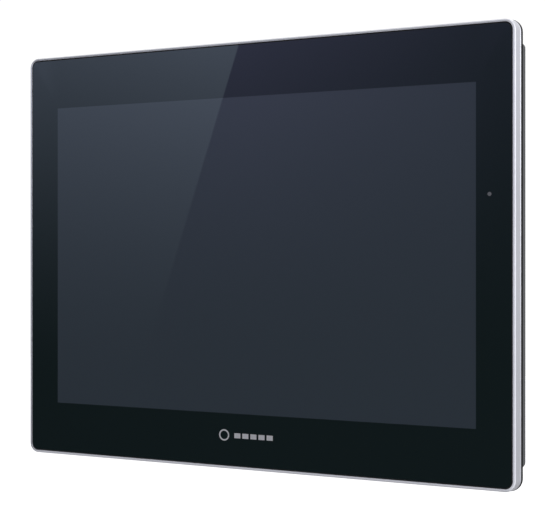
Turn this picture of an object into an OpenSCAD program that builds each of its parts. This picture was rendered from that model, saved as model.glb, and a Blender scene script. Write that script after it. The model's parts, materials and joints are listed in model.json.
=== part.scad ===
// Panel-mounted 15-inch touch display for machine control.
// X runs across the screen, Z up, Y from the operator into the cabinet.
// The origin is the centre of the cabinet cut-out, on the plane of the door's front face.

/* [Front] */
// Width of the metal trim frame
frame_w = 366; // [340:1:400]
// Height of the metal trim frame
frame_h = 294; // [280:1:320]
// Corner radius of the trim frame
frame_r = 8; // [7:0.5:12]
// Width of the trim frame, from its outside to the glass
rim_w = 3; // [2.5:0.1:4]
// How far the trim frame stands in front of the cabinet door
front_t = 13.8; // [13:0.1:13.8]
// Width of the clear window
window_w = 314; // [290:1:320]
// Height of the clear window
window_h = 216; // [200:1:218]
// Thickness of the cover glass
glass_t = 3; // [2:0.5:3]

/* [Rear] */
// Width of the housing that passes through the cut-out
body_w = 352; // [350:1:352]
// Height of the housing that passes through the cut-out
body_h = 279; // [277:1:279]
// Depth of the housing behind the cabinet door
body_d = 40; // [40:0.5:44]
// Depth at which the connector recess starts
shelf_y = 20; // [20:0.5:20.5]
// How far the connector recess reaches up from the bottom of the housing
shelf_rise = 13; // [12:0.5:13]
// Width of the connector recess
recess_w = 300; // [300:2:306]
// Wall thickness of the housing
wall = 2.5; // [2:0.5:3]
// Hole spacing of the arm mount, both ways
arm_pitch = 75; // [75:25:100]

/* [Moving parts] */
// Travel of a setting lever
lever_travel = 1.4; // [1:0.1:1.4]
// Travel of the reset button
button_travel = 0.6; // [0.3:0.1:0.8]

/* [Hidden] */
$fn = 48;

// Levels along Y. Negative is in front of the cabinet door.
front_y = -front_t;
trim_back_y = front_y + 10;
glass_y = front_y + 0.1;
tape_y = glass_y + glass_t;
tape_t = 0.5;
carrier_y = tape_y + tape_t;
seal_t = 2.5;
seal_y = -seal_t;
seal_inset = 0.3;
carrier_t = seal_y - carrier_y;
lcd_y = carrier_y + 0.2;
plate_y = 6;
plate_t = 1.5;
board_y = shelf_y + 0.4;
board_t = 1.6;
top_y = board_y + board_t;
inner_y = body_d - wall;

// Half sizes and places across the panel.
pane_w = frame_w - 2 * rim_w;
pane_h = frame_h - 2 * rim_w;
lcd_w = window_w + 10;
lcd_h = window_h + 13;
lcd_wall = 0.6;
low_z = -body_h / 2 + shelf_rise;
body_r = 4;
face_z = low_z - 0.4;

indicator_x = 165.6;
indicator_z = 38;
fin_z = [58, 118];
fin_half_w = 118;
fin_pitch = 6;
fin_gap = 3.6;
fin_depth = 6;
fin_skin = 2.5;
door_x = 100;
door_z = -62;
door_w = 48;
door_h = 42;
door_t = 2;
hinge_x = door_x - door_w / 2 + 1.8;
hinge_y = body_d - 1;
port_x = [-129, 129];
port_y = [top_y - 0.4, top_y + 14.6];
plug_x = -113;
male_x = -77;
female_x = -41;
jack_x = [-9, 11];
usb_x = [33, 50];
card_x = 76;
dip_x = 103;
reset_x = 120;
ground_x = -141;
// Place, width and height of each cut in the connector plate
port_cuts = [[plug_x, 21, 12.6], [male_x, 31.8, 12.9], [female_x, 31.8, 12.9],
             [jack_x[0], 16.8, 13.7], [jack_x[1], 16.8, 13.7], [usb_x[0], 14.2, 6.5], [usb_x[1], 14.2, 6.5],
             [card_x, 29.2, 3.6], [dip_x, 12.8, 7.4], [reset_x, 7.2, 7.4]];
ribbon_x = 82;
ribbon_w = 20;
pole_pitch = 5.08;
serial_rise = 6.3;
shell_l = 5.8;
screw_z = low_z - 7;
cover_screw_at = [[-165, 130], [-60, 130], [60, 130], [165, 130],
                  [-165, 0], [165, 0], [-165, -130], [165, -130]];
plate_screw_at = [for (x = [-150, -52, 52, 150], z = [-127, 127]) [x, z]];
board_screw_at = [for (x = [-129, -50, 129], z = [-96, 22]) [x, z]];

// ---------- helpers ----------

// Extrudes a flat XZ outline from y0, t deep.
module slab(y0, t) {
    translate([0, y0 + t, 0]) rotate([90, 0, 0]) linear_extrude(t) children();
}

// A round bar along Y, from y0, t long.
module post(x, z, r, y0, t, sides = $fn) {
    translate([x, y0 + t, z]) rotate([90, 0, 0]) cylinder(r = r, h = t, $fn = sides);
}

// A block given by its lowest corner and its highest corner.
module block(low, high) {
    translate(low) cube(high - low);
}

// Rectangle with round corners, centred.
module round_rect(w, h, r) {
    square([w - 2 * r, h], center = true);
    square([w, h - 2 * r], center = true);
    for (x = [-1, 1], y = [-1, 1]) translate([x * (w / 2 - r), y * (h / 2 - r)]) circle(r = r);
}

// Runs an edge profile round a rectangle. A profile point is [distance from the corner's centre, y].
module edge_loop(w, h, r, profile) {
    for (k = [0 : 3]) {
        long = (k % 2 == 0 ? w : h) - 2 * r;
        half = (k % 2 == 0 ? h : w) / 2 - r;
        rotate([-90, 0, 0]) rotate([0, 0, k * 90]) translate([0, half, 0]) {
            rotate([90, 0, 90]) linear_extrude(long, center = true) polygon(profile);
            translate([long / 2, 0, 0]) rotate_extrude(angle = 90) polygon(profile);
        }
    }
}

// Screw along Y with its head at the high end: shank from y0 up, head above it.
module pan_screw(x, z, y0, shank_r, shank_l, head_r, head_t) {
    difference() {
        union() {
            post(x, z, shank_r, y0, shank_l);
            post(x, z, head_r, y0 + shank_l, head_t);
        }
        for (turn = [0, 90])
            translate([x, y0 + shank_l + head_t, z]) rotate([0, turn, 0])
                cube([head_r * 1.1, head_t, head_r * 0.25], center = true);
    }
}

// Hexagonal pillar along Y with a threaded hole in its high end.
module pillar(x, z, y0, t, across, hole_r, hole_t) {
    difference() {
        post(x, z, across / sqrt(3), y0, t, 6);
        post(x, z, hole_r, y0 + t - hole_t, hole_t + 1);
    }
}

// ---------- front ----------

module trim_frame() {
    inner = frame_r - rim_w;
    color([0.80, 0.80, 0.83])
        edge_loop(frame_w, frame_h, frame_r, [
            [inner, front_y], [frame_r - 1.7, front_y], [frame_r - 1.15, front_y + 0.55],
            [frame_r - 0.3, trim_back_y - 1.1], [frame_r, trim_back_y - 0.6],
            [frame_r, trim_back_y - 0.2], [frame_r - 0.2, trim_back_y], [inner, trim_back_y]]);
}

module cover_glass() {
    color([0.05, 0.06, 0.07]) {
        slab(glass_y, glass_t) round_rect(pane_w - 4, pane_h - 4, 3);
        edge_loop(pane_w - 0.8, pane_h - 0.8, frame_r - rim_w - 0.4, [
            [1, glass_y], [frame_r - rim_w - 0.7, glass_y], [frame_r - rim_w - 0.4, glass_y + 0.3],
            [frame_r - rim_w - 0.4, tape_y], [1, tape_y]]);
    }
}

module touch_sensor() {
    color([0.35, 0.40, 0.42, 0.5]) slab(tape_y, 0.2) square([lcd_w, lcd_h], center = true);
}

module bonding_tape() {
    color([0.04, 0.04, 0.04]) slab(tape_y, tape_t) difference() {
        round_rect(pane_w - 3, pane_h - 3, 3);
        square([lcd_w + 1, lcd_h + 1], center = true);
        translate([indicator_x, indicator_z]) circle(r = 1.4);
    }
}

module front_carrier() {
    color([0.10, 0.10, 0.11]) difference() {
        union() {
            slab(carrier_y, carrier_t) round_rect(pane_w - 0.4, pane_h - 0.4, 4.8);
            slab(trim_back_y, seal_y - trim_back_y)
                round_rect(frame_w - 2 * seal_inset, frame_h - 2 * seal_inset, frame_r - seal_inset);
            for (p = plate_screw_at) post(p[0], p[1], 4, seal_y, plate_y - seal_y);
        }
        slab(carrier_y - 1, carrier_t + 2) square([lcd_w + 2, lcd_h + 2], center = true);
        post(indicator_x, indicator_z, 1.25, carrier_y - 1, carrier_t + 2);
        for (p = plate_screw_at) post(p[0], p[1], 1.55, plate_y - 7, 8);
        for (x = [-1, 1], z = [-1, 1]) post(x * 110, z * 125, 1.3, seal_y - 3, 4);
    }
}

module panel_seal() {
    color([0.02, 0.02, 0.02])
        edge_loop(frame_w, frame_h, frame_r, [
            [frame_r - 6.4, seal_y], [frame_r - seal_inset, seal_y], [frame_r - seal_inset, -0.6],
            [frame_r - 1.2, 0], [frame_r - 5.8, 0], [frame_r - 6.4, -0.6]]);
}

// ---------- display module ----------

module lcd_frame() {
    color([0.72, 0.73, 0.74]) {
        slab(lcd_y, 0.5) difference() {
            square([lcd_w, lcd_h], center = true);
            square([window_w, window_h], center = true);
        }
        slab(lcd_y + 0.5, 7) difference() {
            square([lcd_w, lcd_h], center = true);
            square([lcd_w - 2 * lcd_wall, lcd_h - 2 * lcd_wall], center = true);
        }
    }
}

// One flat sheet inside the display's metal frame.
module lcd_sheet(depth, t, inset_h) {
    inside = [lcd_w - 2 * lcd_wall, lcd_h - 2 * lcd_wall];
    slab(lcd_y + depth, t) square(inside - [1, inset_h], center = true);
}

module lcd_cell() { color([0.10, 0.11, 0.13]) lcd_sheet(0.6, 1.8, 1); }

module diffuser_stack() { color([0.95, 0.95, 0.92]) lcd_sheet(2.6, 1, 1); }

module light_guide() { color([0.88, 0.93, 0.95, 0.7]) lcd_sheet(3.8, 2.6, 9); }

module led_bars() {
    bar_w = lcd_w - 4;
    bar_z = lcd_h / 2 - lcd_wall - 2.2;
    color([0.95, 0.92, 0.70]) for (s = [-1, 1])
        translate([-bar_w / 2, lcd_y + 3.8, s * bar_z - 1.6]) cube([bar_w, 2.6, 3.2]);
}

module lcd_back_tray() {
    color([0.70, 0.71, 0.72]) difference() {
        lcd_sheet(6.6, 0.8, 1);
        for (x = [-100 : 50 : 100]) slab(lcd_y, 9) translate([x, 90]) square([30, 3], center = true);
    }
}

module lcd_brackets() {
    rear = lcd_y + 7.5;
    color([0.75, 0.75, 0.76]) for (x = [-110, 110], s = [-1, 1]) difference() {
        union() {
            block([x - 8, seal_y, s * 125 - 6], [x + 8, seal_y + 1.2, s * 125 + 6]);
            block([x - 8, seal_y, s * 118.4 - 0.6], [x + 8, rear + 1.2, s * 118.4 + 0.6]);
            block([x - 8, rear, s * 113 - 6], [x + 8, rear + 1.2, s * 113 + 6]);
        }
        post(x, s * 125, 1.3, seal_y - 1, 4);
    }
}

module bracket_screws() {
    color([0.55, 0.55, 0.57]) for (x = [-110, 110], s = [-1, 1])
        pan_screw(x, s * 125, seal_y - 2.8, 1.25, 4, 2.4, 1.6);
}

module indicator_light_pipe() {
    color([0.85, 0.90, 0.88, 0.6]) post(indicator_x, indicator_z, 1.15, tape_y, seal_y - tape_y + 0.5);
}

module indicator_board() {
    x = indicator_x;
    color([0.05, 0.35, 0.15]) {
        block([x - 2, seal_y + 1.5, indicator_z - 12], [x + 5, seal_y + 2.5, indicator_z + 12]);
        block([x - 1, seal_y + 0.6, indicator_z - 0.8], [x + 1, seal_y + 1.5, indicator_z + 0.8]);
        for (s = [-1, 1]) post(x + 1.5, indicator_z + s * 9, 1.5, seal_y, 1.5);
    }
}

// ---------- inner frame ----------

module mounting_plate() {
    color([0.68, 0.69, 0.70]) difference() {
        slab(plate_y, plate_t) round_rect(body_w - 2 * wall - 2, body_h - 2 * wall - 2, 3);
        for (p = plate_screw_at) post(p[0], p[1], 1.6, plate_y - 1, 4);
        slab(plate_y - 1, 4) translate([0, 44]) square([60, 8], center = true);
        slab(plate_y - 1, 4) translate([ribbon_x, 92]) square([ribbon_w + 8, 6], center = true);
        for (x = [-120 : 24 : 120]) slab(plate_y - 1, 4) translate([x, -70]) round_rect(6, 50, 2.9);
    }
}

module plate_screws() {
    color([0.60, 0.60, 0.62]) for (p = plate_screw_at)
        pan_screw(p[0], p[1], plate_y - 6.5, 1.5, 8, 2.75, 2);
}

module cover_standoffs() {
    color([0.78, 0.68, 0.38]) for (p = cover_screw_at)
        pillar(p[0], p[1], plate_y + plate_t, inner_y - plate_y - plate_t, 5.5, 1.3, 10);
}

module heat_slots() {
    for (x = [-fin_half_w + fin_gap : fin_pitch : fin_half_w - fin_gap])
        block([x - fin_gap / 2, body_d - fin_depth, fin_z[0]], [x + fin_gap / 2, body_d + 1, fin_z[1]]);
}

// Slots that the cabinet clamps hook into, three along the top and bottom and two at each side.
module clamp_slots() {
    for (x = [-120, 0, 120]) block([x - 6, 12, -body_h], [x + 6, 15.4, body_h]);
    for (z = [-75, 75]) block([-body_w, 12, z - 6], [body_w, 15.4, z + 6]);
}

module housing_outside() {
    slab(seal_y, body_d - seal_y) square([body_w - 2 * body_r, body_h - 2 * body_r], center = true);
    edge_loop(body_w, body_h, body_r, [[0, seal_y], [body_r, seal_y], [body_r, body_d - 2],
        [body_r - 2, body_d], [0, body_d]]);
}

// The recess that holds the connector row, grown by d into the housing.
module recess(d) {
    block([-recess_w / 2 - d, shelf_y - d, -body_h], [recess_w / 2 + d, 2 * body_d, low_z + d]);
}

module housing_inside() {
    difference() {
        slab(seal_y - 1, inner_y - seal_y + 1) round_rect(body_w - 2 * wall, body_h - 2 * wall, 2);
        recess(wall);
    }
}

module rear_housing() {
    well = [door_w - 2, door_h - 2];
    color([0.28, 0.29, 0.30]) difference() {
        union() {
            difference() {
                housing_outside();
                housing_inside();
                recess(0);
                clamp_slots();
            }
            block([-fin_half_w - 2, body_d - fin_depth - fin_skin, fin_z[0] - 2],
                  [fin_half_w + 2, inner_y, fin_z[1] + 2]);
            slab(top_y + 6, inner_y - top_y - 6) translate([door_x, door_z]) square(well, center = true);
            slab(inner_y - 2, 2) translate([door_x, door_z]) square(well + [8, 8], center = true);
            for (x = [-1, 1], z = [-1, 1])
                post(x * arm_pitch / 2, z * arm_pitch / 2, 6, inner_y - 7, 7);
            translate([ground_x - 7, shelf_y + 3, low_z + wall]) cube([14, 14, 5]);
        }
        heat_slots();
        slab(top_y + 5, 20) translate([door_x, door_z]) square(well - [3, 3], center = true);
        slab(body_d - door_t - 0.2, 3) translate([door_x, door_z]) square([door_w, door_h], center = true);
        post(door_x + door_w / 2, door_z, 6, body_d - 1.2, 3);
        translate([hinge_x, hinge_y, door_z - door_h / 2 - 3.1]) cylinder(r = 0.54, h = door_h + 6.2);
        for (p = cover_screw_at) {
            post(p[0], p[1], 1.65, inner_y - 1, 6);
            post(p[0], p[1], 3.1, body_d - 1.4, 3);
        }
        for (x = [-1, 1], z = [-1, 1])
            post(x * arm_pitch / 2, z * arm_pitch / 2, 3.5, inner_y - 5.5, 10);
        slab(body_d - 0.5, 2) translate([-40, -78]) round_rect(90.4, 40.4, 2);
        block([port_x[0], port_y[0], low_z - 1], [port_x[1], port_y[1], low_z + wall + 1]);
        translate([ground_x, shelf_y + 10, low_z - 1]) cylinder(r = 2.05, h = 8);
    }
}

module cover_screws() {
    color([0.12, 0.12, 0.13]) for (p = cover_screw_at)
        pan_screw(p[0], p[1], inner_y - 6.9, 1.25, 8, 2.7, 1.2);
}

module mount_inserts() {
    color([0.80, 0.72, 0.45]) for (x = [-1, 1], z = [-1, 1]) difference() {
        post(x * arm_pitch / 2, z * arm_pitch / 2, 3.48, inner_y - 5.5, 7.8);
        post(x * arm_pitch / 2, z * arm_pitch / 2, 2.1, inner_y - 5, 10);
    }
}

module rating_plate() {
    color([0.75, 0.76, 0.77]) slab(body_d - 0.5, 0.45) translate([-40, -78]) round_rect(90, 40, 1.8);
}

// ---------- electronics ----------

module main_board() {
    color([0.03, 0.28, 0.14]) difference() {
        block([-135, board_y, low_z + wall + 2], [135, top_y, 28.5]);
        for (p = board_screw_at) post(p[0], p[1], 1.6, board_y - 1, 4);
    }
}

module board_standoffs() {
    start = plate_y + plate_t;
    color([0.78, 0.68, 0.38]) for (p = board_screw_at)
        pillar(p[0], p[1], start, board_y - start, 5.5, 1.3, 8);
}

module board_screws() {
    color([0.60, 0.60, 0.62]) for (p = board_screw_at) pan_screw(p[0], p[1], top_y - 8, 1.25, 8, 2.6, 1.8);
}

module board_chips() {
    color([0.06, 0.06, 0.06]) {
        block([-12, top_y, -2], [12, top_y + 2, 22]);
        for (x = [-40, -26, 24, 38]) block([x - 5, top_y, 0], [x + 5, top_y + 1.2, 12]);
        for (x = [-100, -84, -60, 62]) block([x - 5, top_y, -50], [x + 5, top_y + 1.4, -40]);
    }
}

module power_coils() {
    color([0.25, 0.25, 0.26]) for (x = [-110, -96, -82]) {
        block([x - 5, top_y, -84], [x + 5, top_y + 5, -74]);
        post(x, -60, 4, top_y, 9);
    }
}

module thermal_pads() {
    color([0.55, 0.65, 0.75]) {
        block([-11, top_y + 2, -1], [11, top_y + 2.5, 21]);
        block([-24, body_d - fin_depth - fin_skin - 0.5, fin_z[0]],
              [24, body_d - fin_depth - fin_skin, fin_z[1]]);
    }
}

module heat_spreader() {
    back = body_d - fin_depth - fin_skin - 0.5;
    color([0.72, 0.73, 0.75]) {
        block([-14, top_y + 2.5, -4], [14, back, 24]);
        block([-26, back - 4, 24], [26, back, fin_z[1]]);
    }
}

module power_board() {
    color([0.04, 0.26, 0.30]) block([-146, board_y, 38], [-60, top_y, 108]);
    color([0.78, 0.68, 0.38]) for (x = [-140, -66], z = [44, 102])
        post(x, z, 2.8, plate_y + plate_t, board_y - plate_y - plate_t, 6);
}

module power_board_parts() {
    color([0.20, 0.18, 0.16]) {
        block([-130, top_y, 62], [-110, top_y + 8, 84]);
        block([-88, top_y, 46], [-70, top_y + 7, 56]);
        for (z = [66, 78, 90]) post(-92, z, 4.5, top_y, 8.5);
        for (z = [66, 76]) post(-78, z, 3, top_y, 7);
    }
}

module touch_board() {
    color([0.04, 0.26, 0.12]) block([66, board_y, 66], [136, top_y, 108]);
    color([0.78, 0.68, 0.38]) for (x = [71, 131], z = [71, 103])
        post(x, z, 2.8, plate_y + plate_t, board_y - plate_y - plate_t, 6);
    color([0.06, 0.06, 0.06]) block([92, top_y, 80], [104, top_y + 1.2, 92]);
}

// The touch tail leaves the sensor's top edge, rounds the display and dives to its own board.
module touch_ribbon() {
    left = ribbon_x - ribbon_w / 2;
    right = ribbon_x + ribbon_w / 2;
    top = lcd_h / 2;
    back = lcd_y + 7.6;
    color([0.70, 0.45, 0.12]) {
        block([left, tape_y, top], [right, tape_y + 0.2, top + 0.4]);
        block([left, tape_y, top + 0.2], [right, back + 0.2, top + 0.4]);
        block([left, back, 91.8], [right, back + 0.2, top + 0.4]);
        block([left, back, 91.8], [right, board_y, 92]);
    }
}

module display_ribbon() {
    color([0.85, 0.85, 0.83]) {
        block([-25, lcd_y + 7.4, 44], [25, board_y + 0.4, 44.4]);
        block([-25, board_y, 28.5], [25, board_y + 0.4, 44]);
    }
}

module battery_holder() {
    color([0.10, 0.10, 0.11]) difference() {
        post(door_x, door_z, 12, top_y, 4.5);
        post(door_x, door_z, 10.2, top_y + 1, 5);
        block([door_x + 6, top_y + 1, door_z - 5], [door_x + 13, top_y + 6, door_z + 5]);
    }
}

module coin_cell() {
    color([0.80, 0.80, 0.80]) post(door_x, door_z, 10, top_y + 1, 3.2);
}

// ---------- connectors ----------

module io_plate() {
    z0 = low_z + wall;
    color([0.70, 0.71, 0.72]) difference() {
        block([port_x[0] - 4, port_y[0] + 0.6, z0], [port_x[1] + 4, inner_y - 0.2, z0 + 1]);
        for (cut = port_cuts)
            translate([cut[0] - cut[1] / 2, top_y - 1, z0 - 1]) cube([cut[1], cut[2] + 1, 3]);
    }
}

module ethernet_jack(x) {
    color([0.78, 0.79, 0.80]) difference() {
        block([x - 8, top_y, face_z], [x + 8, top_y + 13.2, face_z + 21]);
        block([x - 5.95, top_y + 2.2, face_z - 1], [x + 5.95, top_y + 9, face_z + 13]);
        block([x - 3.2, top_y + 8.9, face_z - 1], [x + 3.2, top_y + 11.4, face_z + 8]);
    }
    color([0.85, 0.70, 0.30]) for (k = [0 : 7])
        translate([x - 3.77 + k * 1.02, top_y + 2.2, face_z + 1.5]) cube([0.4, 0.7, 11.5]);
}

module usb_ports() {
    for (x = usb_x) {
        color([0.80, 0.80, 0.82]) difference() {
            block([x - 6.6, top_y, face_z], [x + 6.6, top_y + 5.9, face_z + 14]);
            block([x - 6.25, top_y + 0.35, face_z - 1], [x + 6.25, top_y + 5.55, face_z + 10]);
        }
        color([0.10, 0.15, 0.35])
            block([x - 5.5, top_y + 3.1, face_z + 0.8], [x + 5.5, top_y + 4.9, face_z + 10]);
    }
}

// The D shape of a 9-way serial connector, grown by d on each side.
module d_shape(d) {
    polygon([[-8.2 - d, 3.9 + d], [8.2 + d, 3.9 + d], [7.0 + d, -3.9 - d], [-7.0 - d, -3.9 - d]]);
}

// The nine contacts of a serial connector, five over four, each at its own place in X and Y.
module at_contacts() {
    for (k = [0 : 8])
        translate([(k < 5 ? k - 2 : k - 6.5) * 2.77, k < 5 ? 1.42 : -1.42, 0]) children();
}

// Body and flange shared by both serial connectors, drawn about the centre of the D.
module serial_base() {
    translate([-9.5, -serial_rise, 1]) cube([19, 12.4, 13]);
    difference() {
        translate([-15.4, 0.1 - serial_rise, 0]) cube([30.8, 12.4, 1.2]);
        for (s = [-1, 1]) translate([s * 12.5, 0, -1]) cylinder(r = 1.45, h = 4);
    }
}

module serial_plug() {
    color([0.76, 0.77, 0.78]) translate([male_x, top_y + serial_rise, face_z]) {
        serial_base();
        translate([0, 0, -shell_l]) linear_extrude(shell_l) difference() {
            d_shape(0.5);
            d_shape(0.1);
        }
        at_contacts() translate([0, 0, -shell_l + 0.8]) cylinder(r = 0.5, h = shell_l, $fn = 24);
    }
}

module serial_socket() {
    color([0.76, 0.77, 0.78]) translate([female_x, top_y + serial_rise, face_z]) difference() {
        union() {
            serial_base();
            translate([0, 0, -shell_l]) linear_extrude(shell_l) d_shape(0);
        }
        at_contacts() translate([0, 0, -shell_l - 1]) cylinder(r = 0.6, h = shell_l + 4, $fn = 24);
    }
}

// Hexagonal posts that take the locking screws of a serial cable.
module jack_posts() {
    color([0.78, 0.78, 0.80]) for (x = [male_x, female_x], s = [-1, 1])
        translate([x + s * 12.5, top_y + serial_rise, face_z]) difference() {
            union() {
                translate([0, 0, -5]) cylinder(r = 2.75, h = 5, $fn = 6);
                translate([0, 0, -1]) cylinder(r = 1.4, h = 4.5);
            }
            translate([0, 0, -6]) cylinder(r = 1.15, h = 6);
        }
}

module card_slot() {
    color([0.74, 0.75, 0.76]) difference() {
        block([card_x - 14, top_y, face_z], [card_x + 14, top_y + 3.2, face_z + 28]);
        block([card_x - 12.2, top_y + 0.5, face_z - 1], [card_x + 12.2, top_y + 2.8, face_z + 26]);
    }
}

module dip_switch() {
    color([0.75, 0.12, 0.10]) difference() {
        block([dip_x - 6, top_y, face_z], [dip_x + 6, top_y + 6.6, face_z + 6]);
        for (k = [0 : 3]) block([dip_x - 3.81 + k * 2.54 - 0.7, top_y + 1.4, face_z - 1],
                                [dip_x - 3.81 + k * 2.54 + 0.7, top_y + 5.2, face_z + 3]);
    }
}

module dip_lever(k) {
    x = dip_x - 3.81 + k * 2.54;
    color([0.95, 0.95, 0.93])
        block([x - 0.6, top_y + 1.6, face_z - 1], [x + 0.6, top_y + 5 - lever_travel, face_z + 2.8]);
}

module reset_switch() {
    color([0.12, 0.12, 0.13]) difference() {
        block([reset_x - 3.2, top_y, face_z + 1.2], [reset_x + 3.2, top_y + 6.4, face_z + 6]);
        translate([reset_x, top_y + 3.2, face_z]) cylinder(r = 1.8, h = 4.4);
    }
}

module reset_button() {
    color([0.85, 0.15, 0.12]) translate([reset_x, top_y + 3.2, face_z])
        cylinder(r = 1.65, h = 4.3 - button_travel);
}

module power_header() {
    color([0.05, 0.25, 0.14]) difference() {
        block([plug_x - 10.2, top_y, face_z], [plug_x + 10.2, top_y + 12.2, face_z + 12.4]);
        block([plug_x - 9.2, top_y + 1.2, face_z - 1], [plug_x + 9.2, top_y + 11, face_z + 10.4]);
    }
    color([0.80, 0.80, 0.82]) for (k = [-1 : 1])
        translate([k * pole_pitch, 0, 0])
            block([plug_x - 0.5, top_y + 5.6, face_z + 1], [plug_x + 0.5, top_y + 6.6, face_z + 10.4]);
}

module power_plug() {
    color([0.07, 0.32, 0.18]) difference() {
        union() {
            block([plug_x - 8.9, top_y + 1.5, face_z - 1], [plug_x + 8.9, top_y + 10.7, face_z + 10.1]);
            block([plug_x - 10, top_y + 0.3, face_z - 13], [plug_x + 10, top_y + 12, face_z - 0.3]);
        }
        for (k = [-1 : 1]) {
            x = plug_x + k * pole_pitch;
            block([x - 0.8, top_y + 5.3, face_z + 0.4], [x + 0.8, top_y + 6.9, face_z + 11]);
            block([x - 1.7, top_y + 2, face_z - 14], [x + 1.7, top_y + 5.2, face_z - 3]);
            post(x, screw_z, 2.1, top_y + 8.6, 5);
            post(x, screw_z, 1.55, top_y + 5, 5);
        }
    }
}

module clamp_screw(k) {
    x = plug_x + k * pole_pitch;
    color([0.72, 0.72, 0.74]) difference() {
        union() {
            post(x, screw_z, 2, top_y + 8.8, 2.2);
            post(x, screw_z, 1.45, top_y + 4.2, 4.7);
        }
        translate([x, top_y + 11, screw_z]) cube([5, 1.8, 0.7], center = true);
    }
}

module ground_screw() {
    color([0.80, 0.78, 0.60]) translate([ground_x, shelf_y + 10, 0]) difference() {
        union() {
            translate([0, 0, low_z - 0.8]) cylinder(r = 4.6, h = 0.8);
            translate([0, 0, low_z - 3.2]) cylinder(r = 3.8, h = 2.4);
            translate([0, 0, low_z - 1]) cylinder(r = 1.95, h = 7);
        }
        for (turn = [0, 90])
            translate([0, 0, low_z - 3.2]) rotate([0, 0, turn]) cube([5, 0.9, 2.6], center = true);
    }
}

// ---------- service door ----------

module service_door() {
    right = door_x + door_w / 2 - 0.4;
    leaf_h = door_h - 0.8;
    color([0.26, 0.27, 0.28]) difference() {
        translate([hinge_x, hinge_y, door_z - leaf_h / 2]) {
            translate([0, -door_t / 2, 0]) cube([right - hinge_x, door_t, leaf_h]);
            cylinder(r = door_t / 2, h = leaf_h);
        }
        translate([hinge_x, hinge_y, door_z - door_h / 2]) cylinder(r = 0.57, h = door_h);
        block([right - 4, body_d - 0.7, door_z - 5], [right - 3, body_d + 1, door_z + 5]);
    }
}

module hinge_pin() {
    color([0.75, 0.75, 0.76])
        translate([hinge_x, hinge_y, door_z - door_h / 2 - 3]) cylinder(r = 0.5, h = door_h + 6);
}

trim_frame();
cover_glass();
touch_sensor();
bonding_tape();
front_carrier();
panel_seal();
lcd_frame();
lcd_cell();
diffuser_stack();
light_guide();
led_bars();
lcd_back_tray();
lcd_brackets();
bracket_screws();
indicator_light_pipe();
indicator_board();
mounting_plate();
plate_screws();
cover_standoffs();
rear_housing();
cover_screws();
mount_inserts();
rating_plate();
io_plate();
main_board();
board_standoffs();
board_screws();
board_chips();
power_coils();
thermal_pads();
heat_spreader();
power_board();
power_board_parts();
touch_board();
touch_ribbon();
display_ribbon();
battery_holder();
coin_cell();
ethernet_jack(jack_x[0]);  // ethernet_jack_1
ethernet_jack(jack_x[1]);  // ethernet_jack_2
usb_ports();
serial_plug();
serial_socket();
jack_posts();
card_slot();
dip_switch();
dip_lever(0);  // dip_lever_1
dip_lever(1);  // dip_lever_2
dip_lever(2);  // dip_lever_3
dip_lever(3);  // dip_lever_4
reset_switch();
reset_button();
power_header();
power_plug();
clamp_screw(-1);  // clamp_screw_1
clamp_screw(0);  // clamp_screw_2
clamp_screw(1);  // clamp_screw_3
ground_screw();
service_door();
hinge_pin();
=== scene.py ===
# %% [markdown]
# # An operator touch panel
# This file dresses an engineered panel: a black glass front in a thin metal frame, a display window, and a cast
# rear housing with cooling fins and a row of connectors. The engineered solids give every size and place. This
# file adds what the eye needs: rounded edges, printed glass, anodised metal, powder coat, circuit boards and light.
# Everything is in metres. X runs across the screen, Z up, and Y from the operator into the cabinet.

# %% Load the engineered model
import json
from math import pi, radians

import bmesh
import bpy
from mathutils import Matrix, Vector


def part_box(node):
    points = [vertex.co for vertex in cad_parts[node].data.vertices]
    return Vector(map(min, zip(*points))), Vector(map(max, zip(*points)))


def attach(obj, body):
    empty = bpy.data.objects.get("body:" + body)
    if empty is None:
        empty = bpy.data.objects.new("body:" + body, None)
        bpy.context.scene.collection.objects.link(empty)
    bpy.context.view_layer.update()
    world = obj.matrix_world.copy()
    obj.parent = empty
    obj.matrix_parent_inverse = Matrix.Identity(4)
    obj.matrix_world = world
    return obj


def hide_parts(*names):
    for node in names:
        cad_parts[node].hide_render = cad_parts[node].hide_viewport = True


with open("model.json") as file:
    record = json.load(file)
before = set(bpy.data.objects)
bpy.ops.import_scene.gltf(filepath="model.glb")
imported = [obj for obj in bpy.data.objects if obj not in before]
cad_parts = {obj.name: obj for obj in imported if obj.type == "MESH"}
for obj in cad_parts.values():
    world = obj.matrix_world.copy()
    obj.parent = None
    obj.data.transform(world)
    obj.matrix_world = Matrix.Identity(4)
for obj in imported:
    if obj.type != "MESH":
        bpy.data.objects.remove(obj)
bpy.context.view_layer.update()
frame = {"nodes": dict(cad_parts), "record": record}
MM = 0.001
ROOT = "panel"
print(len(frame["nodes"]), "engineered nodes loaded")

# %% [markdown]
# ## Camera
# The panel is seen level, from the front right and rather close, so its right edge looms and its left edge
# shrinks. A level camera keeps the upright edges parallel. Its place is given from the middle of the glass:
# how far to the side and how far in front.

# %% Camera
glass_low, glass_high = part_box("cover_glass")
glass_w = glass_high.x - glass_low.x
glass_h = glass_high.z - glass_low.z
CAMERA_SIDE = 0.3533
CAMERA_DISTANCE = 0.7175
CAMERA_TURN = radians(25.07)
CAMERA_RISE = -0.0004
LENS = 77.7
SENSOR_WIDTH = 36.0

camera_data = bpy.data.cameras.new("camera")
camera_data.lens = LENS
camera_data.sensor_width = SENSOR_WIDTH
camera_data.clip_start = 0.01
camera = bpy.data.objects.new("camera", camera_data)
camera.location = (CAMERA_SIDE, glass_low.y - CAMERA_DISTANCE, CAMERA_RISE)
camera.rotation_euler = (pi / 2, 0.0, CAMERA_TURN)
bpy.context.scene.collection.objects.link(camera)
bpy.context.scene.camera = camera
bpy.context.scene.view_settings.view_transform = "Standard"
print("camera at", tuple(round(v, 3) for v in camera.location))

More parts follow.
